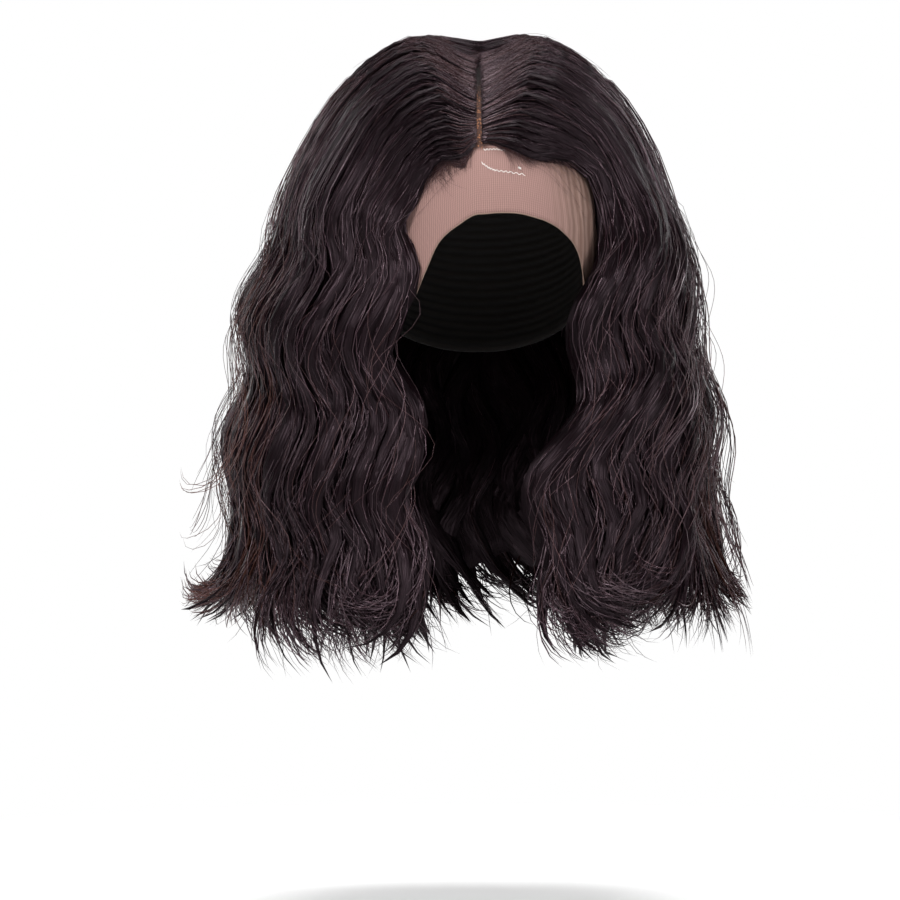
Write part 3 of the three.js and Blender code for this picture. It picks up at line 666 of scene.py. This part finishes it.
def add_strands(bundle, locks, per, run, tip, radius, loose=1.0, backlit_brown=0.0, stand=0.0, across=0.012,
                short=(0.0, 0.03), sides=3, taper=0.5):
    """Thin hairs in and round each lock, per of them"""
    pick = np.repeat(np.arange(len(locks["root"])), per)
    n = len(pick)
    jitter = {
        "short": rng.uniform(*short, (n, 1)),
        "phase": rng.normal(0, 0.2 * loose, (n, 1)),
        "sway": rng.uniform(0.85, 1.15, (n, 1)),
        "depth": stand * rng.uniform(0.3, 1, (n, 1)),
        "cross": rng.normal(0, across, (n, 1)),
    }
    at, beside, out, reach, room = lock_lines(locks, run, pick, jitter)
    turn = rng.uniform(0, 2 * np.pi, n)[:, None]
    away = np.sqrt(rng.uniform(0.5, 1.35, n))[:, None]
    width = profile(run, locks["seed"][pick])
    turn = turn + rng.normal(0, 0.5, n)[:, None] * run
    sideways = np.cos(turn) * away * locks["wide"][pick][:, None] * width
    outward = np.sin(turn) * away * locks["thick"][pick][:, None] * width * flattened(reach)
    frizz = rng.normal(0, 0.5 * loose, (n, 1)) * grow(0, reach, 0.02, 0.4)
    begin, rate = rng.uniform(0, 6.3, (n, 1)), rng.uniform(9, 24, (n, 1))
    sideways = sideways + 2.0 * frizz * np.sin(rate * run + begin)
    outward = np.maximum(outward + 1.2 * frizz * np.cos(rate * 0.8 * run + begin), -room)
    at = at + beside * sideways[..., None] + out * outward[..., None]
    spin = locks["turn"][pick] * rng.uniform(0.86, 1.18, n)
    lean = locks["lean"][pick] + rng.normal(0, 0.15 * loose, n)
    at = curled(at, tip, spin, lean, beside, out)
    thinned = 1 - taper * grow(0, run, 1.7 - 1.6 * taper, 1.0)
    size = radius * rng.uniform(0.6, 1.25, n)[:, None] * thinned * grow(1.1 - taper, run, 0, 0.3)
    # A few strands get a light tone: random, and partly a painted highlight standing in for glints on
    # single strands
    tone = np.clip(locks["tone"][pick] * 0.22 + 1.1 * rng.random(n) ** 3.2, 0, 1)
    tone = tone[:, None] * (1 - 0.6 * grow(0, reach, 0.72, 0.95))
    around = locks["around"][pick]
    # Painted light: strands near the silhouettes at the sides turn brown, for light shining through them
    backlit_fringe = np.where(around < 0, BACKLIT_LEFT, BACKLIT_RIGHT) * bell(np.abs(around), BACKLIT_AT, BACKLIT_WIDE)
    backlit_fringe = backlit_fringe * (rng.random(n) < BACKLIT_SHARE)
    backlit_browned = np.clip(backlit_brown + backlit_fringe + rng.normal(0, 0.05, n), 0, 1)[:, None] * grow(0.3, run, 0.1, 0.7)
    bundle.add(at, out, size, size, sides, tone, backlit_browned)


CORE_RUN, STRAND_RUN, END_RUN = rows(8, 17, 6, 0.84), rows(9, 19, 7, 0.84), (np.linspace(0, 1, 17), 10)
REGIONS = {"hair_left": (-0.988, -0.296), "hair_back": (-0.292, 0.292), "hair_right": (0.296, 0.988)}
LAYERS = [  # locks per unit of around, depth, root, half width and thickness, strands, shorter, curl, short
    (76, 0.88, 0.0, 4.8, 2.6, 9, 0.04, 1.0, 0.006),
    (46, 0.66, 0.03, 5.6, 3.4, 4, 0.05, 0.9, 0.02),
    (28, 0.44, 0.10, 8.0, 4.2, 1, 0.04, 0.8, 0.04),
    (34, 0.2, 0.22, 7.0, 2.4, 2, 0.04, 0.8, 0.04),
]
WISPS = {  # places, locks per unit of around, half width, shorter, lift, strands, radius, backlit brown (painted light through thin hair)
    "hair_right": ((0.5, 0.78), 36, 1.6, 0.14, 0.16, 6, 0.26, 0.1),
    "hair_left": ((-0.72, -0.5), 22, 1.4, 0.2, 0.08, 5, 0.24, 0.25),
}
parts = []


def hair_ends(cores, loose, region, low, high):
    """Curled ends of the hair: fine hairs over thicker tufts"""
    ends = make_locks(spread(low, high, 70), 0.8, 0.66, 4.4, 3.4, shorter=0.045, longer=0.006, curl=1.15)
    add_strands(loose, ends, 12, *END_RUN, END_RADIUS, loose=0.35)
    tips = make_locks(spread(low, high, 110), 0.6, 0.66, 3.6, 3.0, shorter=0.05, longer=0.005, curl=1.1)
    tips["depth"] = rng.uniform(0.25, 0.98, len(tips["depth"]))
    tufts = 2 if region == "hair_back" else 4
    add_strands(cores, tips, tufts, *END_RUN, TUFT_RADIUS, loose=0.4, sides=4, taper=0.86)


def stray_hairs(loose, region, low, high):
    """Hairs that stand off the locks, hairs that fly away, and wisps at the sides"""
    free = make_locks(spread(low, high, 40), 0.94, 0.1, 3.5, 2.0, loose=2.0)
    add_strands(loose, free, 2, *STRAND_RUN, FREE_RADIUS, 1.5, 0.08, 0.04, 0.025, (0.02, 0.1))
    fly = make_locks(spread(low, high, 80), 0.95, 0.25, 4.0, 3.0, loose=3.5, curl=0.45)
    fly["lean"] += rng.uniform(-1.2, 1.2, len(fly["lean"]))
    add_strands(loose, fly, 1, *STRAND_RUN, FLY_RADIUS, 3.0, 0.3, 0.12, 0.04, (0.06, 0.26))
    if region in WISPS:
        places, density, wide, shorter, lift, per, radius, backlit_brown = WISPS[region]
        around = spread(*places, density)
        wisps = make_locks(around, 1.0, 0.1, wide, 1.4, loose=3.0, shorter=shorter, lift=lift)
        add_strands(loose, wisps, per, *STRAND_RUN, radius, 1.0, backlit_brown)


def hair_region(region, low, high):
    """Locks, strands and loose hairs of one mass of hair"""
    cores, strands, loose = Bundle(), Bundle(), Bundle()
    for density, depth, root, wide, thick, per, shorter, curl, short in LAYERS:
        locks = make_locks(spread(low, high, density), depth, root, wide, thick, shorter=shorter, curl=curl)
        add_cores(cores, locks, *CORE_RUN, short)
        add_strands(strands, locks, per, *STRAND_RUN, STRAND_RADIUS)
    hair_ends(cores, loose, region, low, high)
    stray_hairs(loose, region, low, high)
    solid = cores.build(region + "_locks", shaded_lock_skin)
    fine = strands.build(region + "_strands", strand_skin)
    stray = loose.build(region + "_loose", strand_skin)
    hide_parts(region)
    parts.extend([(solid, "hair"), (fine, "hair"), (stray, "hair")])


def away_from_head(at):
    """Directions away from the middle of the head"""
    return unit(at - np.array([0, 0, -CROWN_RISE]))


def edge_hairs(bundle, side, run, n):
    """Short fine hairs along the hairline"""
    locks = make_locks(side * rng.uniform(0.96, 1.02, n), 0.1, 0.0, 0.6, 0.4, loose=4.0, shorter=0.0)
    start = rng.uniform(0.0, 0.2, (n, 1)) ** 1.2
    reach = start + rng.uniform(0.04, 0.13, (n, 1)) * run
    around = locks["around"][:, None] + side * np.abs(rng.normal(0, 0.05, (n, 1))) * run**1.6
    depth = 0.28 + 0.9 * rng.random((n, 1)) * run * (1 - 0.4 * run)
    at = straight(around, depth, reach)
    size = EDGE_RADIUS * (1 - 0.6 * run) * np.ones((n, 1))
    bundle.add(at, away_from_head(at), size, size, 3, rng.uniform(0, 0.6, n), rng.uniform(0.1, 0.6, n))


def parting_hairs(bundle, side, run, n):
    """Roots that reach across the parting"""
    places = side * (1 - 0.62 * rng.random(n) ** 0.8)
    reach = rng.uniform(0.05, 0.09, (n, 1)) * run
    at = straight(places[:, None], 0.55 + 0.4 * run * np.ones((n, 1)), reach)
    cross = rng.uniform(0.2, 1.2 + 1.8 * (1 - np.abs(places[:, None])))
    at[..., 0] -= side * cross * (1 - run) ** 2
    size = PARTING_RADIUS * np.ones(reach.shape)
    bundle.add(at, away_from_head(at), size, size, 3, rng.uniform(0, 0.5, n), rng.uniform(0, 0.3, n))


def hairline_hairs():
    bundle = Bundle()
    run = np.linspace(0, 1, 10)
    for side in (-1, 1):
        edge_hairs(bundle, side, run, EDGE_HAIRS)
        parting_hairs(bundle, side, run, PARTING_HAIRS)
    parts.append((bundle.build("hairline_hairs", strand_skin), "hair"))


def broken_hairs(n):
    """Short hairs that stand off the outer locks"""
    bundle = Bundle()
    run = np.linspace(0, 1, 9)
    locks = make_locks(rng.uniform(-0.95, 0.95, n), 0.95, 0.0, 0.5, 0.4, loose=4.0)
    start = rng.uniform(0.02, 0.5, (n, 1))
    reach = start + rng.uniform(0.03, 0.1, (n, 1)) * run
    around = locks["around"][:, None] + rng.normal(0, 0.02, (n, 1)) * run**1.5
    depth = 0.9 + rng.uniform(0.05, 0.3, (n, 1)) * run * (1.2 - 0.5 * run)
    at, _, out = waved(around, depth, reach, locks["phase"][:, None], locks["sway"][:, None], 4.0, 1.0)
    size = BROKEN_RADIUS * (1 - 0.5 * run) * np.ones((n, 1))
    bundle.add(kept(at), out, size, size, 3, rng.uniform(0.1, 0.8, n), rng.uniform(0, 0.5, n))
    parts.append((bundle.build("broken_hairs", strand_skin), "hair"))


# The wall's low tone darkens it further: painted shade under the locks
WALL_COLUMNS, WALL_ROWS, WALL_REACH, WALL_SHADE = 40, 44, 0.85, (0.1, 0.5, 0.0, 1.0)


def hair_wall(region, low, high):
    """Closed wall of hair under the locks"""
    places, shares = np.linspace(low, high, WALL_COLUMNS), np.linspace(0.0, 1, WALL_ROWS)
    around, reach = np.meshgrid(places, WALL_REACH * shares**1.3)
    faces = []
    for depth in (0.5, 0.3):
        deep = np.full_like(around, depth) * grow(0.3, reach, 0, 0.08)
        at, _, _ = waved(around, deep, reach * (1 - 0.02 * np.sin(around * 40)), 0.0, 5.0, 3.0, 1.0)
        faces.append(at)
    shade = np.tile(WALL_SHADE, (2 * WALL_COLUMNS * WALL_ROWS, 1))
    wall = grid_object(region + "_wall", np.stack(faces), shaded_lock_skin, (600.0 * (high - low), 1.0), shade)
    parts.append((wall, "hair"))


for region, (low, high) in REGIONS.items():
    hair_region(region, low, high)
hairline_hairs()
broken_hairs(BROKEN_HAIRS)
for region, (low, high) in REGIONS.items():
    hair_wall(region, low, high)


# Lace and cap
def head_point(azimuth, fall, lift):
    """Points on the head, lifted off it"""
    wide = (HEAD_WIDTH / 2 + lift) * np.sin(fall)
    long = (HEAD_LENGTH / 2 + lift) * np.sin(fall)
    high = np.where(fall < np.pi / 2, CROWN_RISE, NAPE_FALL) + lift
    return np.stack([wide * np.sin(azimuth), -long * np.cos(azimuth), high * np.cos(fall) - CROWN_RISE], -1)


def rim_fall(azimuth):
    """How far the rim of lace and cap lies from the crown"""
    turned = np.degrees((azimuth + np.pi) % (2 * np.pi) - np.pi)
    share = np.where(turned < 0, along(RIM, 1, np.abs(turned)), along(RIM, 2, np.abs(turned)))
    below = CAP_DEPTH * share - CROWN_RISE
    return np.arccos(-below / np.where(below < 0, CROWN_RISE, NAPE_FALL))


def lace_ripple(azimuth, share):
    """Small folds at the right temple"""
    turned = np.degrees(azimuth)
    temple = bell(turned, 48, 10) * grow(0, share, 0.5, 0.85)
    return 0.9 * temple * (np.sin(turned * 0.95 + 3 * share) + 0.5 * np.sin(turned * 1.7))


def lace_shade(azimuth, at):
    """Where hair is rooted, how near the temple is, and where the hair shades the lace"""
    x, y, z = at[..., 0], at[..., 1], at[..., 2]
    part = np.exp(-((x / 4.5) ** 4)) * grow(0, z, -52, -49)
    behind = grow(0, -y, 80, 62) * grow(0, z, -70, -45)
    rooted = np.clip(np.maximum(part, behind), 0, 1)
    temple = grow(0, np.degrees(azimuth), 25, 50)
    return np.stack([rooted, temple, grow(0, z, -30, -10), 1 + 0 * x], -1)


def shell(name, turn, columns, row_count, inner, outer, material, ripple=None, shade=None):
    """Closed sheet over the head between two azimuths, with its area in square metres"""
    azimuth, share = np.meshgrid(np.linspace(*turn, columns), np.linspace(0.012, 1, row_count))
    fall = share * rim_fall(azimuth)
    lift = ripple(azimuth, share) if ripple else 0.0
    faces = np.stack([head_point(azimuth, fall, outer + lift), head_point(azimuth, fall, inner + lift)])
    colors = np.concatenate([shade(azimuth, faces[0]).reshape(-1, 4)] * 2) if shade else None
    made = grid_object(name, faces, material, (abs(turn[1] - turn[0]) * HEAD_WIDTH / 2, 120.0), colors)
    middle = faces.mean(0)
    beside, down = np.diff(middle, axis=1)[:-1], np.diff(middle, axis=0)[:, :-1]
    return made, np.linalg.norm(np.cross(beside, down), axis=-1).sum() * MM * MM


SEAM_GAP = 0.006
LACE_TURN = (-np.pi / 2, np.pi / 2)
NET_TURN = (np.pi / 2 + SEAM_GAP, 3 * np.pi / 2 - SEAM_GAP)
lace_skin, net_skin = lace_material(), net_material()
lace, lace_area = shell("lace_sheet", LACE_TURN, 100, 56, 0.45, 0.8, lace_skin, lace_ripple, lace_shade)
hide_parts("lace_front")
net, net_area = shell("cap_sheet", NET_TURN, 64, 40, 0.2, 1.0, net_skin)
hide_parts("net_cap")
parts += [(lace, "lace"), (net, "net")]


def lace_hairs():
    """Loose hairs that lie over the lace"""
    bundle = Bundle()
    run = np.linspace(0, 1, 18)
    for side, n, from_more, to_more in ((-1, 8, 0, 0), (1, 5, 18, 16)):
        from_turn, to_turn = rng.uniform(20, 34, (n, 1)) + from_more, rng.uniform(4, 22, (n, 1)) + to_more
        from_z, to_z = rng.uniform(-92, -72, (n, 1)), rng.uniform(-66, -52, (n, 1))
        arch = np.sin(np.pi * run)
        z = from_z + (to_z - from_z) * run + rng.uniform(-3, 9, (n, 1)) * arch
        azimuth = side * np.radians(from_turn + (to_turn - from_turn) * run**0.8)
        lift = 1.3 + 1.6 * arch * rng.random((n, 1))
        at = head_point(azimuth, np.arccos((z + CROWN_RISE) / CROWN_RISE), lift)
        size = LACE_HAIR_RADIUS * np.ones(z.shape)
        bundle.add(at, away_from_head(at), size, size, 3, rng.uniform(0, 0.5, n), rng.uniform(0.2, 0.7, n))
    parts.append((bundle.build("lace_hairs", strand_skin), "hair"))


def plain_tube(bundle, line, radius, sides):
    """Round tube along one line of points"""
    half = np.full((1, len(line)), radius)
    bundle.add(line[None], away_from_head(line[None]), half, half, sides, np.zeros(1), np.zeros(1))


def lace_binding():
    """Darker bound edge of the lace"""
    bundle = Bundle()
    azimuth = np.linspace(*LACE_TURN, 160)
    plain_tube(bundle, head_point(azimuth, rim_fall(azimuth), 0.7), 0.32, 6)
    edge_skin = plain_material("lace_edge", EDGE_COLOR, 0.7)
    parts.append((bundle.build("lace_binding", edge_skin), "lace"))


STITCHES = [  # places across and heights along each run of thread
    ((2.0, 9.0, 16.0, 22.5), (-51.0, -50.6, -51.4, -52.6)),
    ((1.0, 5.0, 8.7, 16.0, 25.0), (-58.0, -61.0, -62.4, -63.2, -64.6)),
    ((21.0, 22.4), (-60.6, -61.2)),
    ((54.0, 55.4), (-70.4, -71.6)),
]


def lace_stitches():
    """Pale thread where the lace was taken in, above the forehead; its near-white colour is partly a
    painted glint
    """
    bundle = Bundle()
    run = np.linspace(0, 1, 60)
    for places, heights in STITCHES:
        x = np.interp(run, np.linspace(0, 1, len(places)), places)
        z = np.interp(run, np.linspace(0, 1, len(heights)), heights) + 0.5 * np.sin(run * 75)
        bulge = np.sqrt(1 - (x / (HEAD_WIDTH / 2)) ** 2 - ((z + CROWN_RISE) / CROWN_RISE) ** 2)
        plain_tube(bundle, np.stack([x, -HEAD_LENGTH / 2 * bulge - 0.95, z], -1), 0.17, 4)
    # Near-white thread: partly a painted glint
    glint_thread_skin = plain_material("stitch_thread_glint", THREAD_GLINT_COLOR, 0.5)
    parts.append((bundle.build("lace_stitches", glint_thread_skin), "lace"))


lace_hairs()
lace_binding()
lace_stitches()
for piece, slot_name in parts:
    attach(piece, "root")


# Stage, light and camera
def stage_floor(level):
    """Pale floor that fades into the white of the backdrop"""
    bpy.ops.mesh.primitive_circle_add(vertices=96, radius=12, fill_type="TRIFAN", location=(0, 0, level))
    floor = bpy.context.object
    floor.name = "stage_floor"
    skin = Skin("stage_floor")
    skin.constants({"Base Color": (0.93, 0.93, 0.93, 1), "Roughness": 0.9, "Specular IOR Level": 0.1})
    place = skin.node("ShaderNodeTexCoord")
    far = skin.node("ShaderNodeVectorMath", operation="LENGTH")
    skin.link(place.outputs["Object"], far.inputs[0])
    fade = skin.node("ShaderNodeMapRange", interpolation_type="SMOOTHSTEP")
    fade.inputs["From Min"].default_value = 0.15
    fade.inputs["From Max"].default_value = 0.55
    skin.link(far.outputs["Value"], fade.inputs["Value"])
    glow = skin.node("ShaderNodeEmission", Strength=1.0)
    mix = skin.node("ShaderNodeMixShader")
    surface = next(node for node in skin.nodes if node.type == "OUTPUT_MATERIAL")
    skin.link(fade.outputs["Result"], mix.inputs["Fac"])
    skin.link(skin.shader.outputs["BSDF"], mix.inputs[1])
    skin.link(glow.outputs["Emission"], mix.inputs[2])
    skin.link(mix.outputs["Shader"], surface.inputs["Surface"])
    floor.data.materials.append(skin.material)
    floor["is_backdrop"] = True


FLOOR_LEVEL, LIT_POINT = -0.47, (0, 0, -0.16)
LIGHTS = [  # name, place, width and height, power
    ("key_left", (-1.5, -1.9, 0.75), (0.6, 1.0), 50),
    ("key_right", (1.7, -1.7, 0.55), (0.6, 1.0), 42),
    ("top", (0, 0.1, 1.5), (1.4, 1.0), 46),
    ("back_left", (-1.4, 1.6, 0.4), (0.8, 1.4), 16),
    ("back_right", (1.4, 1.6, 0.4), (0.8, 1.4), 14),
]
BACKDROP_GLOW = 0.036
SENSOR, SEEN_WIDTH, CAMERA_AWAY, CAMERA_RISE = 36, 504, 2200, math.radians(1.0)
AIM_X, AIM_Z = -0.0157, -0.2139


def area_light(name, at, size, power):
    lamp = bpy.data.lights.new(name, "AREA")
    lamp.shape = "RECTANGLE"
    lamp.size, lamp.size_y = size
    lamp.energy = power
    holder = bpy.data.objects.new(name, lamp)
    bpy.context.scene.collection.objects.link(holder)
    holder.location = at
    holder.rotation_euler = (Vector(LIT_POINT) - Vector(at)).to_track_quat("-Z", "Y").to_euler()


def backdrop():
    """White as seen, but dim as a light"""
    world = bpy.data.worlds.new("studio")
    bpy.context.scene.world = world
    world.use_nodes = True
    nodes, link = world.node_tree.nodes, world.node_tree.links.new
    background = nodes["Background"]
    background.inputs["Color"].default_value = (1, 1, 1, 1)
    soft = nodes.new("ShaderNodeMapRange")
    soft.inputs["To Min"].default_value = BACKDROP_GLOW
    ray = nodes.new("ShaderNodeLightPath")
    link(ray.outputs["Is Camera Ray"], soft.inputs["Value"])
    link(soft.outputs["Result"], background.inputs["Strength"])


def front_camera():
    """Long lens a little above the middle of the wig"""
    lens = bpy.data.cameras.new("camera")
    lens.sensor_width = SENSOR
    lens.lens = SENSOR * CAMERA_AWAY / SEEN_WIDTH
    lens.clip_start, lens.clip_end = 0.05, 50
    camera = bpy.data.objects.new("camera", lens)
    bpy.context.scene.collection.objects.link(camera)
    back, up = CAMERA_AWAY * MM * math.cos(CAMERA_RISE), CAMERA_AWAY * MM * math.sin(CAMERA_RISE)
    camera.location = (AIM_X, -back, AIM_Z + up)
    camera.rotation_euler = (math.pi / 2 - CAMERA_RISE, 0, 0)
    bpy.context.scene.camera = camera


stage_floor(FLOOR_LEVEL)
for light in LIGHTS:
    area_light(*light)
backdrop()
front_camera()
bpy.context.scene.view_settings.view_transform = "Standard"

low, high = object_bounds()
